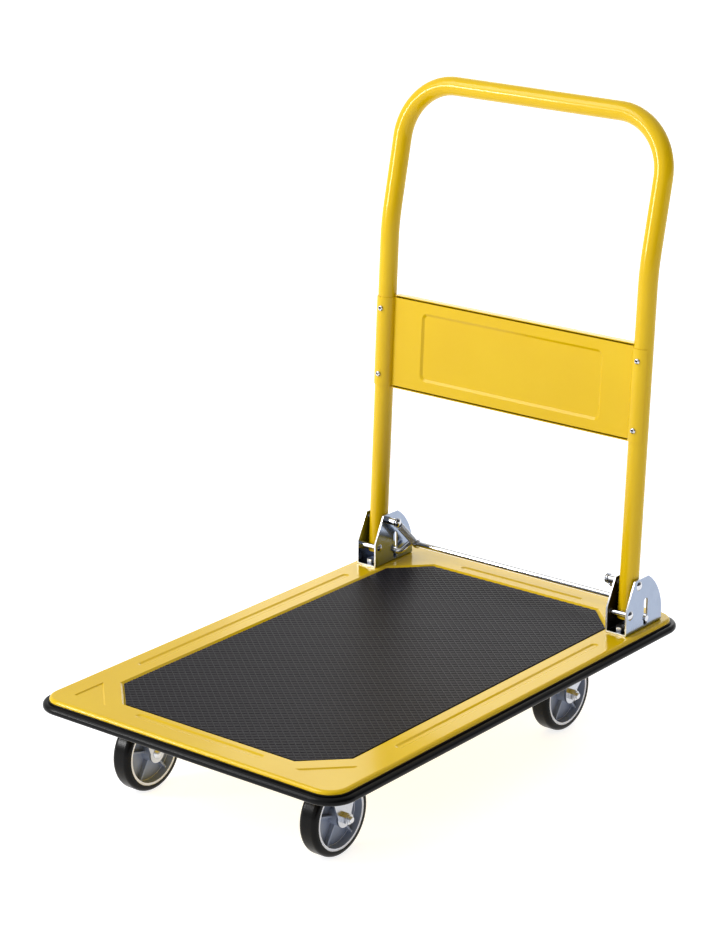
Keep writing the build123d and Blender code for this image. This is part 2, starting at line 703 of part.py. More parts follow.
def make_rigid_fork():
    """Fixed fork at the origin: mounting plate with two legs welded beneath it."""
    top = (FORK_HALF_TOP, PLATE_BOTTOM + PLATE_T / 2)
    outline = tangent_leg((-top[0], top[1]), top)
    fork = mounting_plate() + fork_leg_pair(outline)
    fork -= axle_cut()
    return drill_plate_holes(fork, [(0, 0)], PLATE_BOTTOM, WEB_BOTTOM)


def raceway(mean_z):
    return Pos(0, 0, mean_z) * Torus(RACE_D / 2, BALL_D / 2 + BALL_PLAY)


def race_ring(bottom, top):
    half = RACE_RING_W / 2
    return z_cylinder(RACE_D / 2 + half, bottom, top) - z_cylinder(RACE_D / 2 - half, bottom, top)


def race_mid():
    return (PLATE_BOTTOM + CROWN_TOP) / 2


def make_caster_plate():
    """Swivel caster's fixed plate on the swivel axis, with the upper ball cup."""
    plate = mounting_plate() + race_ring(race_mid() + RACE_GAP / 2, PLATE_BOTTOM)
    plate -= raceway(race_mid())
    plate -= z_cylinder(KINGPIN_D / 2 + RUN_CLEAR, PLATE_BOTTOM - PAST, WEB_BOTTOM + PAST)
    return drill_plate_holes(plate, [(0, 0)], PLATE_BOTTOM, WEB_BOTTOM)


def make_swivel_fork():
    """Turning fork on the swivel axis: ball cup, crown and two legs raked to the axle."""
    crown = z_cylinder(CROWN_D / 2, CROWN_BOTTOM, CROWN_TOP)
    crown += race_ring(CROWN_TOP, race_mid() - RACE_GAP / 2)
    front = (-RAKE_FRONT, CROWN_BOTTOM + CROWN_T / 2)
    back = (CROWN_D / 2 + TRAIL - RAKE_BACK, CROWN_BOTTOM + CROWN_T / 2)
    outline = tangent_leg(front, back)
    for leg in fork_leg_pair(outline):
        crown += Pos(0, -TRAIL, 0) * leg
    crown -= Pos(0, -TRAIL, 0) * axle_cut()
    crown -= raceway(race_mid())
    return crown - z_cylinder(KINGPIN_D / 2 + RUN_CLEAR, CROWN_BOTTOM - PAST, PLATE_BOTTOM)


def make_kingpin():
    foot = CROWN_BOTTOM - RUN_CLEAR
    pin = z_cylinder(KINGPIN_D / 2, foot, WEB_BOTTOM)
    head = z_cylinder(KINGPIN_HEAD_D / 2, foot - KINGPIN_HEAD_T, foot)
    head = fillet(head.faces().sort_by(Axis.Z)[0].edges(), KINGPIN_HEAD_T * 0.6)
    return pin + head


def make_ball_ring():
    balls = []
    for i in range(BALL_COUNT):
        angle = 2 * math.pi * i / BALL_COUNT
        x = RACE_D / 2 * math.cos(angle)
        y = RACE_D / 2 * math.sin(angle)
        balls.append(Pos(x, y, race_mid()) * Sphere(BALL_D / 2))
    return group(balls)


def make_caster_bolts():
    """Bolts up through each plate and channel web, with a nut on top of the web."""
    shank = WEB_TOP - PLATE_BOTTOM + NUT_H + CASTER_THREAD_OUT
    bolts = []
    nuts = []
    front, rear = caster_centres()
    for cx, cy in front + rear:
        for x, y in plate_bolt_points(cx, cy):
            bolt = Location((x, y, PLATE_BOTTOM), (180, 0, 0)) * hex_bolt(shank)
            bolts.append(bolt)
            nuts.append(Pos(x, y, WEB_TOP) * hex_nut())
    return group(bolts), group(nuts)


def make_tyre():
    """Moulded tread ring about the axle, axle along X at the origin."""
    depth = (WHEEL_D - RIM_D) / 2
    section = Pos(0, RIM_D / 2 + depth / 2) * Rectangle(TYRE_W, depth)
    outer = section.vertices().sort_by(Axis.Y)[-2:]
    section = fillet(outer, TYRE_SHOULDER_R)
    return revolve(Plane.XY * section, Axis.X)


def make_rim():
    """Moulded wheel centre: rim wall, thin web, long hub and ribs on both faces."""
    wall_w = TYRE_W - 2 * RIM_SETBACK
    mid_r = (RIM_D - RIM_WALL) / 2
    hub_r = HUB_D / 2
    bore = SLEEVE_R + RUN_CLEAR
    wall = Pos(0, mid_r) * Rectangle(wall_w, RIM_WALL)
    web = Pos(0, (hub_r + mid_r) / 2) * Rectangle(WEB_T, mid_r - hub_r + RIM_WALL)
    hub = Pos(0, (bore + hub_r) / 2) * Rectangle(HUB_W, hub_r - bore)
    rim = revolve(Plane.XY * (wall + web + hub), Axis.X)
    rib_w = wall_w - 2 * RIB_SETBACK
    rib_l = mid_r - hub_r
    for i in range(RIB_COUNT):
        rib = Pos(0, 0, (mid_r + hub_r) / 2) * Box(rib_w, RIB_T, rib_l + PAST)
        rim += Rotation(RIB_PHASE + i * 360 / RIB_COUNT, 0, 0) * rib
    return rim


def make_axle(side):
    """Axle bolt, lock nut and spacer sleeve at the origin, nut towards side (+1 or -1)."""
    outer = FORK_GAP / 2 + FORK_T
    end = outer + NUT_H + LOCK_COLLAR_H + THREAD_OUT
    bolt = x_cylinder(AXLE_R, -outer, end)
    bolt = chamfer(bolt.edges().sort_by(Axis.X)[-1], BOLT_END)
    bolt += dome(DOME_HEAD_D / 2, DOME_HEAD_H, -outer, 0, 0, -1)
    collar = Cylinder(LOCK_COLLAR_D / 2, LOCK_COLLAR_H, align=UPRIGHT)
    collar -= Cylinder(AXLE_R, 3 * LOCK_COLLAR_H)
    nut = hex_nut() + Pos(0, 0, NUT_H) * collar
    nut = Plane(origin=(outer, 0, 0), z_dir=(1, 0, 0)).location * nut
    sleeve = x_cylinder(SLEEVE_R, -FORK_GAP / 2, FORK_GAP / 2)
    sleeve -= x_cylinder(AXLE_R + BOLT_CLEAR, -FORK_GAP, FORK_GAP)
    pieces = (bolt, nut, sleeve)
    return pieces if side > 0 else tuple(mirrored(piece) for piece in pieces)


# ------------------------------------------------------------------ assembly
def build_nodes():
    nodes = {}
    front, rear = caster_centres()
    nodes["deck_plate"] = make_deck_plate()
    nodes["deck_mat"] = make_deck_mat()
    nodes["edge_bumper"] = make_edge_bumper()
    front_channel = make_cross_channel(FRONT_AXLE_Y)
    rear_channel = make_cross_channel(SWIVEL_Y)
    nodes["cross_channel_front"] = drill_plate_holes(front_channel, front, WEB_BOTTOM, WEB_TOP)
    nodes["cross_channel_rear"] = drill_plate_holes(rear_channel, rear, WEB_BOTTOM, WEB_TOP)
    nodes["bracket_bolts"], nodes["bracket_nuts"] = make_bracket_bolts()
    nodes["caster_bolts"], nodes["caster_nuts"] = make_caster_bolts()
    nodes["foot_bar"] = make_foot_bar()
    nodes["bar_collars"] = make_bar_collars()
    nodes["handle_tube"] = make_handle_tube()
    nodes["panel_front"] = make_panel_front()
    nodes["panel_rear"] = make_panel_rear()
    nodes["panel_screws"] = make_panel_screws()
    right_hand = {
        "hinge_bracket": make_hinge_bracket(),
        "pivot_pin": make_pivot_pin(),
        "stop_pin": make_stop_pin(),
        "latch_spring": make_latch_spring(),
        "end_plug": make_end_plug(),
    }
    for name, shape in right_hand.items():
        nodes[name + "_right"] = shape
        nodes[name + "_left"] = mirrored(shape)
    for side, sign in (("left", -1), ("right", 1)):
        fx = sign * FRONT_X
        rx = sign * REAR_X
        nodes["rigid_fork_" + side] = Pos(fx, FRONT_AXLE_Y, 0) * make_rigid_fork()
        nodes["caster_plate_" + side] = Pos(rx, SWIVEL_Y, 0) * make_caster_plate()
        nodes["swivel_fork_" + side] = Pos(rx, SWIVEL_Y, 0) * make_swivel_fork()
        nodes["kingpin_" + side] = Pos(rx, SWIVEL_Y, 0) * make_kingpin()
        nodes["ball_ring_" + side] = Pos(rx, SWIVEL_Y, 0) * make_ball_ring()
        for end, x, y in (("front", fx, FRONT_AXLE_Y), ("rear", rx, REAR_AXLE_Y)):
            place = Pos(x, y, AXLE_Z)
            tag = "_" + end + "_" + side
            nodes["tyre" + tag] = place * make_tyre()
            nodes["wheel_centre" + tag] = place * make_rim()
            bolt, nut, sleeve = make_axle(sign)
            nodes["axle_bolt" + tag] = place * bolt
            nodes["axle_nut" + tag] = place * nut
            nodes["axle_sleeve" + tag] = place * sleeve
    return nodes


os.makedirs("parts", exist_ok=True)
for node_name, node_shape in build_nodes().items():
    export_step(node_shape, os.path.join("parts", node_name + ".step"))
    print(node_name, len(node_shape.solids()), round(node_shape.volume / 1000, 2), "cm3")
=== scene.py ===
import json
import math

import bpy
from mathutils import Matrix, Vector


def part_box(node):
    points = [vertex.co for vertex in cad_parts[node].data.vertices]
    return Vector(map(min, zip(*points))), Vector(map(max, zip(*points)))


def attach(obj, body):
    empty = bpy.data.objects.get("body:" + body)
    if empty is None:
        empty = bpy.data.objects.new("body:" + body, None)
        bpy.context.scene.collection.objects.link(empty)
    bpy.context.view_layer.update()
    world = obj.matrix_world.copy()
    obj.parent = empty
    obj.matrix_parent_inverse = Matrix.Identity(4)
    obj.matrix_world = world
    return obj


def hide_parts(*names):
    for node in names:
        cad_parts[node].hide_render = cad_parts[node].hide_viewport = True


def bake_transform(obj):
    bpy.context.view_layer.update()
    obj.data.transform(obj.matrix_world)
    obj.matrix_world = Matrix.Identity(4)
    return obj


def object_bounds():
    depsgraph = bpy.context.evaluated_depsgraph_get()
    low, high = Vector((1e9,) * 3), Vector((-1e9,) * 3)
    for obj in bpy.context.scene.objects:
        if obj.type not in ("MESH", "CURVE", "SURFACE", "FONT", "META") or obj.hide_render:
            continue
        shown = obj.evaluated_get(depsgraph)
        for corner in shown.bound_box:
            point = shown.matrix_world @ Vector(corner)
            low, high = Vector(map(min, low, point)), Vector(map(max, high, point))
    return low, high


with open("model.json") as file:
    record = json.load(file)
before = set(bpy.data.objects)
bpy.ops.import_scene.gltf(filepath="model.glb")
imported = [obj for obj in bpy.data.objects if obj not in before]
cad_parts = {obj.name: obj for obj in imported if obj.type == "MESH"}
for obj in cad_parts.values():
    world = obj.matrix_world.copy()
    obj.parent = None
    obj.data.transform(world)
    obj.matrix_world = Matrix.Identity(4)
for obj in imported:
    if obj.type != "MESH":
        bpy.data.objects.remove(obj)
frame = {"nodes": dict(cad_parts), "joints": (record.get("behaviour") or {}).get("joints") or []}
cad_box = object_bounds()


# ---------------------------------------------------------------- studio
# The cart stands on a white acrylic light table, lit from beneath, under a white dome with one large
# softbox at its front left, a small one lower down and a large one behind. The dome is dimmer to the
# right, so that faces turned that way go deeper. All sizes here and below are in metres.
def linear(code):
    """An sRGB hex colour, such as "F2C230", as the linear colour that a socket takes."""
    channels = [int(code[i:i + 2], 16) / 255 for i in (0, 2, 4)]
    return [c / 12.92 if c <= 0.04045 else ((c + 0.055) / 1.055) ** 2.4 for c in channels] + [1.0]


def add_node(tree, kind, inputs=None, **settings):
    """Adds a node to tree. Each input is a value, or the output socket that it is linked from."""
    node = tree.nodes.new(kind)
    for name, value in settings.items():
        setattr(node, name, value)
    for name, value in (inputs or {}).items():
        if isinstance(value, bpy.types.NodeSocket):
            tree.links.new(value, node.inputs[name])
        else:
            node.inputs[name].default_value = value
    return node


def start_material(name, **values):
    """A material with its shader's plain values set, and its tree and shader to add patterns to."""
    material = bpy.data.materials.new(name)
    material.use_nodes = True
    shader = material.node_tree.nodes["Principled BSDF"]
    for socket, value in values.items():
        shader.inputs[socket.replace("_", " ")].default_value = value
    return material, material.node_tree, shader


TABLE_SIZE = 60.0
TABLE_GLOW = 0.84
TABLE_CLOUD = 1.5

bpy.ops.object.select_all(action="DESELECT")
bpy.ops.mesh.primitive_plane_add(size=TABLE_SIZE)
table = bpy.context.object
table.name = "light_table"
acrylic, tree, shader = start_material("white_acrylic", Roughness=0.9,
                                       Emission_Color=linear("FFFFFF"), Emission_Strength=TABLE_GLOW)
place = add_node(tree, "ShaderNodeTexCoord")
cloud = add_node(tree, "ShaderNodeTexNoise", {"Vector": place.outputs["Object"],
                                              "Scale": 1 / TABLE_CLOUD})
tone = add_node(tree, "ShaderNodeMix", {"Factor": cloud.outputs["Fac"], "A": linear("B4B5B8"),
                                        "B": linear("AFB0B4")}, data_type="RGBA")
tree.links.new(tone.outputs["Result"], shader.inputs["Base Color"])
table.data.materials.append(acrylic)

DOME_BRIGHT = "FFFFFF"
DOME_DIM = "55555A"
DOME_STRENGTH = 0.85
DIM_STARTS = 0.25
DIM_ENDS = 0.85
world = bpy.data.worlds.new("studio_dome")
bpy.context.scene.world = world
world.use_nodes = True
tree = world.node_tree
backdrop = tree.nodes["Background"]
place = add_node(tree, "ShaderNodeTexCoord")
axes = add_node(tree, "ShaderNodeSeparateXYZ", {"Vector": place.outputs["Generated"]})
side = add_node(tree, "ShaderNodeMapRange", {"Value": axes.outputs["X"], "From Min": DIM_STARTS,
                                             "From Max": DIM_ENDS}, interpolation_type="SMOOTHSTEP")
tone = add_node(tree, "ShaderNodeMix", {"Factor": side.outputs["Result"], "A": linear(DOME_BRIGHT),
                                        "B": linear(DOME_DIM)}, data_type="RGBA")
tree.links.new(tone.outputs["Result"], backdrop.inputs["Color"])
backdrop.inputs["Strength"].default_value = DOME_STRENGTH


def softbox(name, spot, size, power):
    """A square light of that size, and power in watts, aimed at the middle of the cart."""
    lamp = bpy.data.lights.new(name, "AREA")
    lamp.size = size
    lamp.energy = power
    holder = bpy.data.objects.new(name, lamp)
    bpy.context.scene.collection.objects.link(holder)
    aim = (cad_box[0] + cad_box[1]) / 2 - Vector(spot)
    holder.location = spot
    holder.rotation_mode = "QUATERNION"
    holder.rotation_quaternion = aim.to_track_quat("-Z", "Y")


softbox("softbox_front", (-2.2, -2.4, 3.4), 2.4, 80)
softbox("softbox_low", (-2.1, -2.4, 1.15), 0.5, 26)
softbox("softbox_back", (-1.5, 3.2, 1.3), 2.4, 22)

CAMERA_SPOT = (2.0989, -2.6733, 1.5076)
CAMERA_AZIMUTH = math.radians(38.37)
CAMERA_ELEVATION = math.radians(18.21)
CAMERA_ROLL = math.radians(0.13)
CAMERA_LENS = 111.47
VIEW_GAMMA = 0.88
lens = bpy.data.cameras.new("camera")
lens.lens = CAMERA_LENS
lens.clip_end = 2 * TABLE_SIZE
camera = bpy.data.objects.new("camera", lens)
bpy.context.scene.collection.objects.link(camera)
turn = Matrix.Rotation(CAMERA_AZIMUTH, 4, "Z")
tilt = Matrix.Rotation(math.pi / 2 - CAMERA_ELEVATION, 4, "X")
roll = Matrix.Rotation(CAMERA_ROLL, 4, "Z")
camera.matrix_world = Matrix.Translation(CAMERA_SPOT) @ turn @ tilt @ roll
bpy.context.scene.camera = camera
bpy.context.scene.view_settings.view_transform = "Standard"
bpy.context.scene.view_settings.gamma = VIEW_GAMMA


# ---------------------------------------------------------------- deck pressing and its channels
# The deck is one sheet of mild steel, pressed with its recess, beads and turned-down edge, and two
# hat channels are welded beneath it. All of it is powder coated after welding: the melted powder
# leaves an even gloss with a faint orange peel, slightly deeper in tone where it lies thicker.
PEEL = 0.0016
TONE_SPOT = 0.09
YELLOW_LIGHT = "DFBE09"
YELLOW_DEEP = "D8B304"

powder_coat, tree, shader = start_material("yellow_powder_coat", IOR=1.4, Coat_Weight=0.12,
                                           Coat_Roughness=0.05)
place = add_node(tree, "ShaderNodeTexCoord")
spots = add_node(tree, "ShaderNodeTexNoise", {"Vector": place.outputs["Object"], "Scale": 1 / TONE_SPOT,
                                              "Detail": 3.0})
tone = add_node(tree, "ShaderNodeMix", {"Factor": spots.outputs["Fac"], "A": linear(YELLOW_LIGHT),
                                        "B": linear(YELLOW_DEEP)}, data_type="RGBA")
tree.links.new(tone.outputs["Result"], shader.inputs["Base Color"])
gloss = add_node(tree, "ShaderNodeMapRange", {"Value": spots.outputs["Fac"], "To Min": 0.16,
                                              "To Max": 0.25})
tree.links.new(gloss.outputs["Result"], shader.inputs["Roughness"])
peel = add_node(tree, "ShaderNodeTexNoise", {"Vector": place.outputs["Object"], "Scale": 1 / PEEL})
bump = add_node(tree, "ShaderNodeBump", {"Height": peel.outputs["Fac"], "Strength": 0.1,
                                         "Distance": PEEL / 10})
tree.links.new(bump.outputs["Normal"], shader.inputs["Normal"])
tree.links.new(bump.outputs["Normal"], shader.inputs["Coat Normal"])


def cover(material, *names):
    """Gives CAD nodes their finish. A name's start stands for every node that begins with it."""
    for name, piece in frame["nodes"].items():
        if name.startswith(names):
            piece.data.materials.clear()
            piece.data.materials.append(material)


cover(powder_coat, "deck_plate", "cross_channel", "handle_tube", "panel_front", "panel_rear")


# ---------------------------------------------------------------- deck mat
# A sheet of charcoal PVC, glued into the deck's recess. Thin raised ribs cross in a diamond grid,
# and the fields between them are grained, so the ribs catch the light and the fields stay dull.
DIAMOND_X = 0.0122
DIAMOND_Y = 0.0100
RIB_LAND = 0.00042
RIB_SLOPE = 0.00055
FIELD_DEPTH = 0.00045
MAT_CUT = 0.046
DIAGONAL = math.pi / 4

# A square grid is turned onto its corners and stretched into diamonds. Each field is then inset,
# first by half the rib's flat top and then down its slope, and the sheet is trimmed to eight sides.
low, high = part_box("deck_mat")
steps = math.ceil((high.x / DIAMOND_X + high.y / DIAMOND_Y)) * 2
bpy.ops.object.select_all(action="DESELECT")
bpy.ops.mesh.primitive_grid_add(x_subdivisions=steps, y_subdivisions=steps, size=1.0,
                                location=(0, 0, high.z))
mat = bpy.context.object
mat.name = "diamond_mat"
bpy.ops.object.transform_apply()
bpy.ops.object.mode_set(mode="EDIT")
bpy.ops.transform.rotate(value=DIAGONAL, orient_axis="Z", center_override=(0, 0, high.z))
across = steps / math.sqrt(2)
bpy.ops.transform.resize(value=(DIAMOND_X * across, DIAMOND_Y * across, 1),
                         center_override=(0, 0, high.z))
for thickness, depth in ((RIB_LAND, 0), (RIB_SLOPE, -FIELD_DEPTH)):
    bpy.ops.mesh.inset(thickness=thickness, depth=depth, use_individual=True)
corner = Vector((high.x - MAT_CUT / 2, high.y - MAT_CUT / 2, high.z))
sides = [((high.x, 0, 0), (1, 0, 0)), ((0, high.y, 0), (0, 1, 0)), (corner, (1, 1, 0))]
for spot, out in sides:
    for sx, sy in ((1, 1), (-1, 1), (-1, -1), (1, -1)):
        bpy.ops.mesh.select_all(action="SELECT")
        bpy.ops.mesh.bisect(plane_co=(spot[0] * sx, spot[1] * sy, high.z),
                            plane_no=(out[0] * sx, out[1] * sy, 0), clear_outer=True)
bpy.ops.mesh.select_all(action="DESELECT")
bpy.ops.mesh.select_non_manifold(extend=False)
bpy.ops.mesh.extrude_region_move()
bpy.ops.transform.resize(value=(1, 1, 0), center_override=(0, 0, low.z))
bpy.ops.mesh.edge_face_add()
bpy.ops.object.mode_set(mode="OBJECT")

GRAIN = 0.0009
HAZE = 0.12
vinyl, tree, shader = start_material("embossed_charcoal_vinyl", Roughness=0.44, IOR=1.33)
place = add_node(tree, "ShaderNodeTexCoord")
grain = add_node(tree, "ShaderNodeTexVoronoi", {"Vector": place.outputs["Object"], "Scale": 1 / GRAIN})
haze = add_node(tree, "ShaderNodeTexNoise", {"Vector": place.outputs["Object"], "Scale": 1 / HAZE})
tone = add_node(tree, "ShaderNodeMix", {"Factor": haze.outputs["Fac"], "A": linear("151217"),
                                        "B": linear("1C191F")}, data_type="RGBA")
tree.links.new(tone.outputs["Result"], shader.inputs["Base Color"])
bump = add_node(tree, "ShaderNodeBump", {"Height": grain.outputs["Distance"], "Strength": 0.25,
                                         "Distance": GRAIN / 8})
tree.links.new(bump.outputs["Normal"], shader.inputs["Normal"])
mat.data.materials.append(vinyl)
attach(mat, "deck")
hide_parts("deck_mat")


# ---------------------------------------------------------------- edge bumper
# An extruded length of soft black rubber, pushed over the deck's turned-down edge and joined at
# the back. The die leaves it satin, with a slight waxy sheen along its rounded nose. Its grain is
# drawn coarser than the real one, so that it shows.
RUBBER_GRAIN = 0.0011
bumper_rubber, tree, shader = start_material("extruded_black_rubber", Roughness=0.3, IOR=1.3)
place = add_node(tree, "ShaderNodeTexCoord")
grain = add_node(tree, "ShaderNodeTexNoise", {"Vector": place.outputs["Object"],
                                              "Scale": 1 / RUBBER_GRAIN})
tone = add_node(tree, "ShaderNodeMix", {"Factor": grain.outputs["Fac"], "A": linear("030304"),
                                        "B": linear("070709")}, data_type="RGBA")
tree.links.new(tone.outputs["Result"], shader.inputs["Base Color"])
gloss = add_node(tree, "ShaderNodeMapRange", {"Value": grain.outputs["Fac"], "To Min": 0.24,
                                              "To Max": 0.34})
tree.links.new(gloss.outputs["Result"], shader.inputs["Roughness"])
bump = add_node(tree, "ShaderNodeBump", {"Height": grain.outputs["Fac"], "Strength": 0.1,
                                         "Distance": RUBBER_GRAIN / 10})
tree.links.new(bump.outputs["Normal"], shader.inputs["Normal"])
cover(bumper_rubber, "edge_bumper")


# ---------------------------------------------------------------- hinge brackets
# Each is one blank of 3 mm steel, pierced, tumbled and folded into a channel, then electroplated
# with zinc under a clear blue passivate. Tumbling rounds the sheared edges, and their faces are
# painted near white as a painted highlight. The plate is a cool satin mirror outside. The faces
# inside the channel are painted dark brown as painted shade, and the floor's upward face dark
# navy as a painted dark reflection.
EDGE_ROUND = 0.0005
PLATE_CLOUD = 0.02
ROLL_GRAIN = 0.0006
ROLL_STRETCH = 0.08
SAME_SPOT = 0.00001
SAME_PLANE = math.radians(0.5)
SHARP_EDGE = math.radians(40)


def eased(name, width, body, slot, *finishes):
    """Takes a CAD node's place with a copy of it whose sharp edges are rounded over."""
    piece = bpy.data.objects.new(name + "_eased", frame["nodes"][name].data.copy())
    bpy.context.scene.collection.objects.link(piece)
    bpy.ops.object.select_all(action="DESELECT")
    piece.select_set(True)
    bpy.context.view_layer.objects.active = piece
    bpy.ops.object.mode_set(mode="EDIT")
    bpy.ops.mesh.select_all(action="SELECT")
    bpy.ops.mesh.remove_doubles(threshold=SAME_SPOT)
    bpy.ops.mesh.dissolve_limited(angle_limit=SAME_PLANE)
    bpy.ops.object.mode_set(mode="OBJECT")
    round_over = piece.modifiers.new("round_over", "BEVEL")
    round_over.width = width
    round_over.segments = 2
    round_over.angle_limit = SHARP_EDGE
    bpy.ops.object.modifier_apply(modifier="round_over")
    bpy.ops.object.shade_smooth_by_angle(angle=SHARP_EDGE)
    flatten = piece.modifiers.new("flatten", "WEIGHTED_NORMAL")
    flatten.keep_sharp = True
    bpy.ops.object.modifier_apply(modifier="flatten")
    piece.data.materials.clear()
    for finish in finishes:
        piece.data.materials.append(finish)
    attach(piece, body)
    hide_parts(name)
    return piece


def zinc_plate(name, light, deep, gloss):
    """Bright zinc between two colours, whose roughness runs between the two values of gloss."""
    material, tree, shader = start_material(name, Metallic=1.0)
    place = add_node(tree, "ShaderNodeTexCoord")
    drawn = add_node(tree, "ShaderNodeMapping", {"Vector": place.outputs["Object"],
                                                 "Scale": (1, ROLL_STRETCH, 1)})
    grain = add_node(tree, "ShaderNodeTexNoise", {"Vector": drawn.outputs["Vector"],
                                                  "Scale": 1 / ROLL_GRAIN})
    cloud = add_node(tree, "ShaderNodeTexNoise", {"Vector": place.outputs["Object"],
                                                  "Scale": 1 / PLATE_CLOUD, "Detail": 4.0})
    tone = add_node(tree, "ShaderNodeMix", {"Factor": cloud.outputs["Fac"], "A": linear(light),
                                            "B": linear(deep)}, data_type="RGBA")
    tree.links.new(tone.outputs["Result"], shader.inputs["Base Color"])
    sheen = add_node(tree, "ShaderNodeMapRange", {"Value": cloud.outputs["Fac"], "To Min": gloss[0],
                                                  "To Max": gloss[1]})
    tree.links.new(sheen.outputs["Result"], shader.inputs["Roughness"])
    bump = add_node(tree, "ShaderNodeBump", {"Height": grain.outputs["Fac"], "Strength": 0.06,
                                             "Distance": ROLL_GRAIN / 10})
    tree.links.new(bump.outputs["Normal"], shader.inputs["Normal"])
    return material


SHEET_T = 0.003
EDGE_ON = 0.6
FACE_UP = 0.9
bracket_zinc = zinc_plate("blue_passivated_zinc", "A9B3C4", "9BA6B9", (0.12, 0.22))
edge_highlight_zinc = zinc_plate("painted_highlight_zinc_edge", "F2F3F6", "E4E6EA", (0.3, 0.4))
channel_shade_zinc = zinc_plate("painted_shade_inner_zinc", "4E453B", "3A352F", (0.22, 0.34))
floor_reflection_zinc = zinc_plate("painted_reflection_floor_zinc", "2C3242", "232835", (0.16, 0.28))
for side in ("left", "right"):
    bracket = eased("hinge_bracket_" + side, EDGE_ROUND, "deck", "bracket_zinc",
                    bracket_zinc, edge_highlight_zinc, channel_shade_zinc, floor_reflection_zinc)
    low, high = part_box("hinge_bracket_" + side)
    middle = (low.x + high.x) / 2
    inner_face = (high.x - low.x) / 2 - SHEET_T
    for face in bracket.data.polygons:
        out = face.normal
        above_floor = face.center.z > low.z + SHEET_T + EDGE_ROUND
        # Faces across the edges: near-white zinc, a painted highlight.
        if abs(out.x) < EDGE_ON and (above_floor or abs(out.y) > EDGE_ON):
            face.material_index = 1
        # Faces inside the channel: dark brown zinc, painted shade.
        elif above_floor and abs(face.center.x - middle) < inner_face + EDGE_ROUND:
            face.material_index = 2
        # The floor's upward face: dark navy zinc, a painted dark reflection.
        elif out.z > FACE_UP:
            face.material_index = 3


# ---------------------------------------------------------------- pins and foot bar
# The pins are cold-headed steel and the foot bar is one bent rod. Both are polished and chromed,
# because hands and feet touch them: a clean mirror, faintly clouded.
CHROME_CLOUD = 0.006
chrome, tree, shader = start_material("polished_chrome", Metallic=1.0)
place = add_node(tree, "ShaderNodeTexCoord")
spots = add_node(tree, "ShaderNodeTexNoise", {"Vector": place.outputs["Object"],
                                              "Scale": 1 / CHROME_CLOUD})
tone = add_node(tree, "ShaderNodeMix", {"Factor": spots.outputs["Fac"], "A": linear("DCDDE0"),
                                        "B": linear("CFD1D5")}, data_type="RGBA")
tree.links.new(tone.outputs["Result"], shader.inputs["Base Color"])
gloss = add_node(tree, "ShaderNodeMapRange", {"Value": spots.outputs["Fac"], "To Min": 0.04,
                                              "To Max": 0.11})
tree.links.new(gloss.outputs["Result"], shader.inputs["Roughness"])
cover(chrome, "foot_bar", "bar_collars", "pivot_pin", "stop_pin")


# ---------------------------------------------------------------- latch springs
# A close-wound tension spring on each side pulls the foot bar up to the pivot peg. It is coiled
# from plated music wire, and at each end the last turn is bent out into a loop round its pin.
SPRING_WIRE = 0.0014
SPRING_RADIUS = 0.0045
SPRING_PITCH = 0.00146
LOOP_PLAY = 0.0003
PIVOT_PEG_RADIUS = 0.005
FOOT_PEG_RADIUS = 0.004
WIRE_SIDES = 10
COIL_STEPS = 20
LOOP_STEPS = 32


def wire_loop(centre, radius):
    """Adds a loop of wire round a pin along X to the mesh in edit mode."""
    bpy.ops.mesh.primitive_torus_add(major_radius=radius, minor_radius=SPRING_WIRE / 2,
                                     major_segments=LOOP_STEPS, minor_segments=WIRE_SIDES,
                                     location=centre, rotation=(0, math.pi / 2, 0))


spring_wire = zinc_plate("plated_music_wire", "D2D5DB", "B9BDC6", (0.12, 0.22))
joints = {joint["name"]: joint for joint in frame["joints"]}
pivot = Vector(joints["handle_fold"]["pos_m"])
bar_low, bar_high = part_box("bar_collars")
for side in ("left", "right"):
    low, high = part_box("latch_spring_" + side)
    top = Vector(((low.x + high.x) / 2, pivot.y, pivot.z))
    foot = Vector((top.x, (bar_low.y + bar_high.y) / 2, (bar_low.z + bar_high.z) / 2))
    down = (foot - top).normalized()
    top_loop = PIVOT_PEG_RADIUS + LOOP_PLAY + SPRING_WIRE / 2
    foot_loop = FOOT_PEG_RADIUS + LOOP_PLAY + SPRING_WIRE / 2
    start = top_loop + SPRING_WIRE
    length = (foot - top).length - start - foot_loop - SPRING_WIRE
    turns = math.floor(length / SPRING_PITCH)
    bpy.ops.object.select_all(action="DESELECT")
    bpy.ops.mesh.primitive_circle_add(vertices=WIRE_SIDES, radius=SPRING_WIRE / 2,
                                      location=(SPRING_RADIUS, 0, 0), rotation=(math.pi / 2, 0, 0))
    spring = bpy.context.object
    spring.name = "close_wound_spring_" + side
    bpy.ops.object.transform_apply()
    winding = spring.modifiers.new("winding", "SCREW")
    winding.angle = math.tau
    winding.screw_offset = length / turns
    winding.iterations = turns
    winding.steps = COIL_STEPS
    winding.render_steps = COIL_STEPS
    bpy.ops.object.modifier_apply(modifier="winding")
    spring.location = top + down * start
    spring.rotation_mode = "QUATERNION"
    spring.rotation_quaternion = down.to_track_quat("Z", "X")
    bpy.ops.object.transform_apply()
    bpy.ops.object.mode_set(mode="EDIT")
    bpy.ops.mesh.select_all(action="SELECT")
    bpy.ops.mesh.normals_make_consistent(inside=False)
    bpy.ops.mesh.select_all(action="DESELECT")
    bpy.ops.mesh.select_non_manifold(extend=False)
    bpy.ops.mesh.edge_face_add()
    wire_loop(top, top_loop)
    wire_loop(foot, foot_loop)
    bpy.ops.object.mode_set(mode="OBJECT")
    bpy.ops.object.shade_smooth_by_angle(angle=math.radians(60))
    spring.data.materials.append(spring_wire)
    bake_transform(spring)
    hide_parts("latch_spring_" + side)
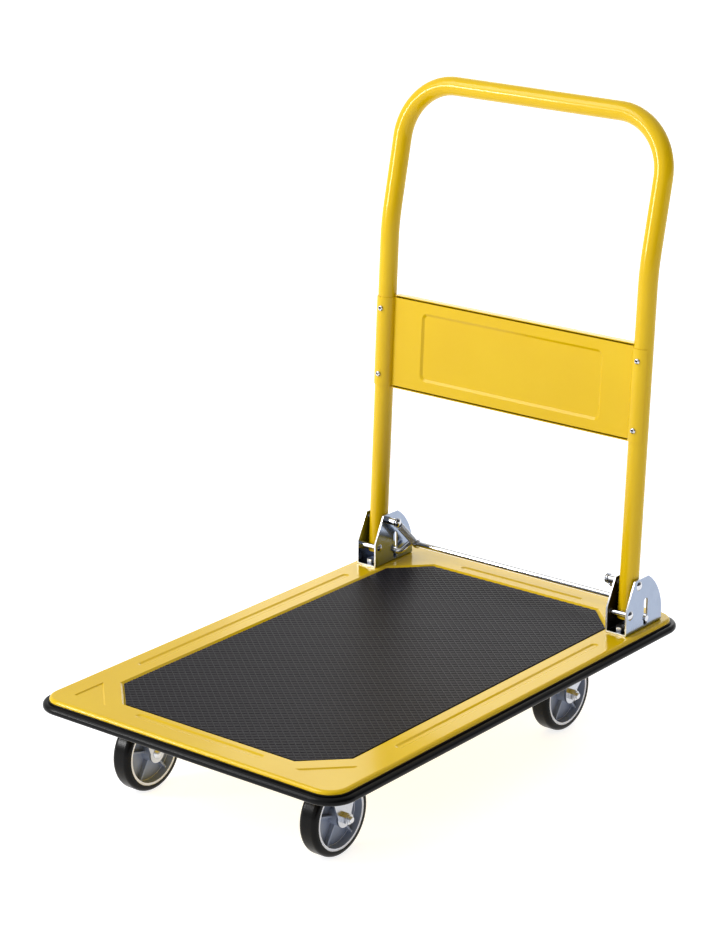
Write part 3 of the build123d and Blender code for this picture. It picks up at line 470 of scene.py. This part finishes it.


# ---------------------------------------------------------------- panel screws
# Four pan-head screws with cross recesses, of chromed carbon steel, driven through the panel into
# the legs. The faces down in the cross recess are painted near black as painted shade.
RECESS_REACH = 0.0021
RECESS_STARTS = 0.0001
RECESS_ENDS = 0.001
HEAD_ROUND = 0.00008
recess_shade = zinc_plate("painted_shade_recess", "1E1C1A", "141312", (0.5, 0.7))
screw = eased("panel_screws", HEAD_ROUND, "handle", "plated_hardware", chrome, recess_shade)
low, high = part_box("panel_screws")
heads = {}
for face in screw.data.polygons:
    heads.setdefault((face.center.x > 0, face.center.z > (low.z + high.z) / 2), []).append(face)
for faces in heads.values():
    spots = [screw.data.vertices[i].co for face in faces for i in face.vertices]
    axis = [(min(spot[i] for spot in spots) + max(spot[i] for spot in spots)) / 2 for i in (0, 2)]
    crown = min(spot.y for spot in spots)
    for face in faces:
        reach = math.hypot(face.center.x - axis[0], face.center.z - axis[1])
        sunk = face.center.y - crown
        # Faces down in the cross recess get the near-black finish: painted shade.
        if reach < RECESS_REACH and RECESS_STARTS < sunk < RECESS_ENDS:
            face.material_index = 1


# ---------------------------------------------------------------- bolts and nuts
# M8 hexagon bolts with locking nuts hold the brackets, casters and wheels. They are cold-headed
# steel, barrel plated with bright zinc, and their corners are worn round by the barrel.
CORNER_ROUND = 0.0004
hardware_zinc = zinc_plate("barrel_plated_zinc", "E2E4E8", "CFD2D8", (0.24, 0.38))
hexagons = {"bracket_bolts": "deck", "bracket_nuts": "deck",
            "caster_bolts": "deck", "caster_nuts": "deck"}
for side in ("left", "right"):
    for kind in ("axle_bolt", "axle_nut", "axle_sleeve"):
        hexagons[f"{kind}_front_{side}"] = "deck"
        hexagons[f"{kind}_rear_{side}"] = "swivel_" + side
for name, body in hexagons.items():
    eased(name, CORNER_ROUND, body, "plated_hardware", hardware_zinc)


# ---------------------------------------------------------------- caster forks and swivels
# The forks and top plates are pressed and pierced 3 mm steel, zinc plated like the brackets but
# without the blue dye. A riveted kingpin and a ring of steel balls join each rear fork's crown to
# its plate.
fork_zinc = zinc_plate("clear_zinc_plate", "D0D3DA", "BDC1CA", (0.14, 0.26))
presswork = {}
for side in ("left", "right"):
    presswork["rigid_fork_" + side] = "deck"
    presswork["caster_plate_" + side] = "deck"
    presswork["swivel_fork_" + side] = "swivel_" + side
for name, body in presswork.items():
    eased(name, EDGE_ROUND, body, "fork_zinc", fork_zinc)
cover(fork_zinc, "kingpin")
ball_steel = zinc_plate("polished_ball_steel", "DADADC", "CDCDD0", (0.05, 0.1))
cover(ball_steel, "ball_ring")


# ---------------------------------------------------------------- wheels
# A solid black rubber tyre is moulded onto a grey polypropylene centre. The rubber is satin with
# a smooth tread. The plastic has the even grain of an unpolished mould. Its outer lip, where it
# faces sideways, is painted pale as a painted highlight. Both grains are drawn coarser than the
# real ones, so that they show.
TYRE_GRAIN = 0.0014
tyre_rubber, tree, shader = start_material("moulded_tyre_rubber", Roughness=0.26, IOR=1.3)
place = add_node(tree, "ShaderNodeTexCoord")
grain = add_node(tree, "ShaderNodeTexNoise", {"Vector": place.outputs["Object"],
                                              "Scale": 1 / TYRE_GRAIN})
tone = add_node(tree, "ShaderNodeMix", {"Factor": grain.outputs["Fac"], "A": linear("040303"),
                                        "B": linear("090808")}, data_type="RGBA")
tree.links.new(tone.outputs["Result"], shader.inputs["Base Color"])
bump = add_node(tree, "ShaderNodeBump", {"Height": grain.outputs["Fac"], "Strength": 0.12,
                                         "Distance": TYRE_GRAIN / 10})
tree.links.new(bump.outputs["Normal"], shader.inputs["Normal"])
cover(tyre_rubber, "tyre")

PLASTIC_GRAIN = 0.0007
LIP_RADIUS = 0.0385
LIP_FADE = 0.0003
LIP_TURNED = 0.5
LIP_FACED = 0.7
for end in ("front", "rear"):
    axle = joints[f"wheel_spin_{end}_left"]["pos_m"]
    wheel_plastic, tree, shader = start_material("moulded_grey_polypropylene_" + end,
                                                 Roughness=0.38, IOR=1.49)
    place = add_node(tree, "ShaderNodeTexCoord")
    grain = add_node(tree, "ShaderNodeTexNoise", {"Vector": place.outputs["Object"],
                                                  "Scale": 1 / PLASTIC_GRAIN})
    centred = add_node(tree, "ShaderNodeMapping", {"Vector": place.outputs["Object"],
                                                   "Location": (0, -axle[1], -axle[2])})
    flat = add_node(tree, "ShaderNodeVectorMath", {0: centred.outputs["Vector"], 1: (0, 1, 1)},
                    operation="MULTIPLY")
    reach = add_node(tree, "ShaderNodeVectorMath", {0: flat.outputs["Vector"]}, operation="LENGTH")
    turned = add_node(tree, "ShaderNodeSeparateXYZ", {"Vector": place.outputs["Normal"]})
    faced = add_node(tree, "ShaderNodeMath", {0: turned.outputs["X"]}, operation="ABSOLUTE")
    face_on = add_node(tree, "ShaderNodeMapRange", {"Value": faced.outputs["Value"],
                                                    "From Min": LIP_TURNED, "From Max": LIP_FACED})
    # The outer lip's sideways faces are painted near white: a painted highlight.
    lip_highlight = add_node(tree, "ShaderNodeMapRange", {"Value": reach.outputs["Value"],
                                                "From Min": LIP_RADIUS - LIP_FADE,
                                                "From Max": LIP_RADIUS,
                                                "To Max": face_on.outputs["Result"]})
    body_tone = add_node(tree, "ShaderNodeMix", {"Factor": grain.outputs["Fac"], "A": linear("8C95A9"),
                                                 "B": linear("98A1B4")}, data_type="RGBA")
    tone = add_node(tree, "ShaderNodeMix", {"Factor": lip_highlight.outputs["Result"],
                                            "A": body_tone.outputs["Result"],
                                            "B": linear("EEF1FA")}, data_type="RGBA")
    tree.links.new(tone.outputs["Result"], shader.inputs["Base Color"])
    bump = add_node(tree, "ShaderNodeBump", {"Height": grain.outputs["Fac"], "Strength": 0.1,
                                             "Distance": PLASTIC_GRAIN / 10})
    tree.links.new(bump.outputs["Normal"], shader.inputs["Normal"])
    cover(wheel_plastic, "wheel_centre_" + end)


# ---------------------------------------------------------------- end plugs
# Each leg's open end is closed by a black polyethylene plug, moulded with a matt spark grain and
# tapped in flush. The grain is drawn coarser than the real one.
PLUG_GRAIN = 0.0008
plug_plastic, tree, shader = start_material("moulded_black_polyethylene", Roughness=0.5, IOR=1.5)
place = add_node(tree, "ShaderNodeTexCoord")
grain = add_node(tree, "ShaderNodeTexNoise", {"Vector": place.outputs["Object"], "Scale": 1 / PLUG_GRAIN})
tone = add_node(tree, "ShaderNodeMix", {"Factor": grain.outputs["Fac"], "A": linear("141415"),
                                        "B": linear("1D1D1F")}, data_type="RGBA")
tree.links.new(tone.outputs["Result"], shader.inputs["Base Color"])
bump = add_node(tree, "ShaderNodeBump", {"Height": grain.outputs["Fac"], "Strength": 0.3,
                                         "Distance": PLUG_GRAIN / 8})
tree.links.new(bump.outputs["Normal"], shader.inputs["Normal"])
cover(plug_plastic, "end_plug")
